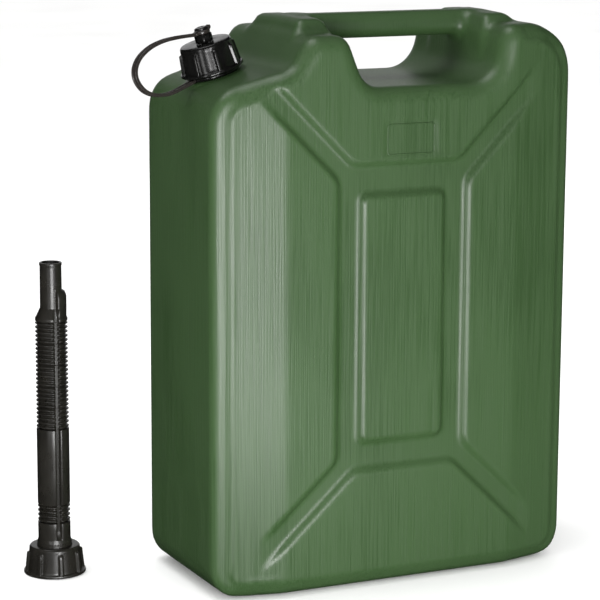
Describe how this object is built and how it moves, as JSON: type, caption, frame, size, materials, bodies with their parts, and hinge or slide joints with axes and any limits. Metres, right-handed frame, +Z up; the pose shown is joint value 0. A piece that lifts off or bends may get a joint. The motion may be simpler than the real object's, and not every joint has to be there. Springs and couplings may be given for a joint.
{
  "type": "plastic fuel can",
  "caption": "Green moulded plastic fuel jerrycan with a tethered black screw cap, a carrying handle across the top and a separate flexible pouring spout.",
  "frame": {"origin": "middle of the can's flat base, where it stands on the floor", "axes": "+X along the can's width, away from the neck; +Y out of the broad face on the spout's side; +Z up"},
  "size_m": [0.4641, 0.1861, 0.495],
  "materials": {
    "green_plastic": "satin, with faint upright moulding streaks",
    "gloss_black": "glossy",
    "satin_black": "satin",
    "strap_grey": "satin",
    "gasket_rubber": "matte"
  },
  "bodies": {
    "can": {"can_body": "green_plastic", "tether_collar": "gloss_black", "tether_strap": "strap_grey"},
    "cap_carrier": {"tether_eye": "strap_grey"},
    "cap": {"cap_shell": "gloss_black", "cap_gasket": "gasket_rubber", "cap_stud": "gloss_black"},
    "spout": {"spout_base_tube": "satin_black", "spout_gasket": "gasket_rubber", "spout_short_bellows": "satin_black"},
    "spout_ring_body": {"spout_ring": "satin_black"},
    "spout_middle": {"spout_mid_tube": "satin_black", "spout_long_bellows_1": "satin_black"},
    "spout_segment_2": {"spout_long_bellows_2": "satin_black"},
    "spout_segment_3": {"spout_long_bellows_3": "satin_black"},
    "spout_segment_4": {"spout_long_bellows_4": "satin_black"},
    "spout_segment_5": {"spout_long_bellows_5": "satin_black"},
    "spout_tip": {"spout_nozzle": "satin_black"}
  },
  "joints": [
    {"name": "cap_lift", "type": "slide", "parent": "can", "child": "cap_carrier", "axis": [-0.284, 0, 0.9588], "range_m": [0, 0.0151], "deforming": ["tether_strap"]},
    {"name": "cap_turn", "type": "hinge", "parent": "cap_carrier", "child": "cap", "pos_m": [-0.1392, 0, 0.444], "axis": [-0.284, 0, 0.9588], "range_deg": [0, 900]},
    {"name": "spout_lift", "type": "slide", "parent": "can", "child": "spout", "axis": [0, 0, 1], "range_m": [0, 0.2]},
    {"name": "spout_ring_turn", "type": "hinge", "parent": "spout", "child": "spout_ring_body", "pos_m": [-0.264, 0.071, 0], "axis": [0, 0, 1], "continuous": true},
    {"name": "spout_lower_bend", "type": "hinge", "parent": "spout", "child": "spout_middle", "pos_m": [-0.264, 0.071, 0.05465], "axis": [1, 0, 0], "range_deg": [-15, 15], "stiffness_Nm_per_rad": 1, "deforming": ["spout_short_bellows"]},
    {"name": "spout_bend_1", "type": "hinge", "parent": "spout_middle", "child": "spout_segment_2", "pos_m": [-0.264, 0.071, 0.14124], "axis": [1, 0, 0], "range_deg": [-18, 18], "stiffness_Nm_per_rad": 0.6, "deforming": ["spout_long_bellows_1"]},
    {"name": "spout_bend_2", "type": "hinge", "parent": "spout_segment_2", "child": "spout_segment_3", "pos_m": [-0.264, 0.071, 0.16052], "axis": [1, 0, 0], "range_deg": [-18, 18], "stiffness_Nm_per_rad": 0.6, "deforming": ["spout_long_bellows_2"]},
    {"name": "spout_bend_3", "type": "hinge", "parent": "spout_segment_3", "child": "spout_segment_4", "pos_m": [-0.264, 0.071, 0.1798], "axis": [1, 0, 0], "range_deg": [-18, 18], "stiffness_Nm_per_rad": 0.6, "deforming": ["spout_long_bellows_3"]},
    {"name": "spout_bend_4", "type": "hinge", "parent": "spout_segment_4", "child": "spout_segment_5", "pos_m": [-0.264, 0.071, 0.19908], "axis": [1, 0, 0], "range_deg": [-18, 18], "stiffness_Nm_per_rad": 0.6, "deforming": ["spout_long_bellows_4"]},
    {"name": "spout_bend_5", "type": "hinge", "parent": "spout_segment_5", "child": "spout_tip", "pos_m": [-0.264, 0.071, 0.21836], "axis": [1, 0, 0], "range_deg": [-18, 18], "stiffness_Nm_per_rad": 0.6, "deforming": ["spout_long_bellows_5"]}
  ],
  "couplings": [
    {"joint": "cap_lift", "follows": "cap_turn", "m_per_rad": 0.00095493},
    {"joint": "spout_bend_2", "follows": "spout_bend_1", "ratio": 1},
    {"joint": "spout_bend_3", "follows": "spout_bend_1", "ratio": 1},
    {"joint": "spout_bend_4", "follows": "spout_bend_1", "ratio": 1},
    {"joint": "spout_bend_5", "follows": "spout_bend_1", "ratio": 1}
  ]
}
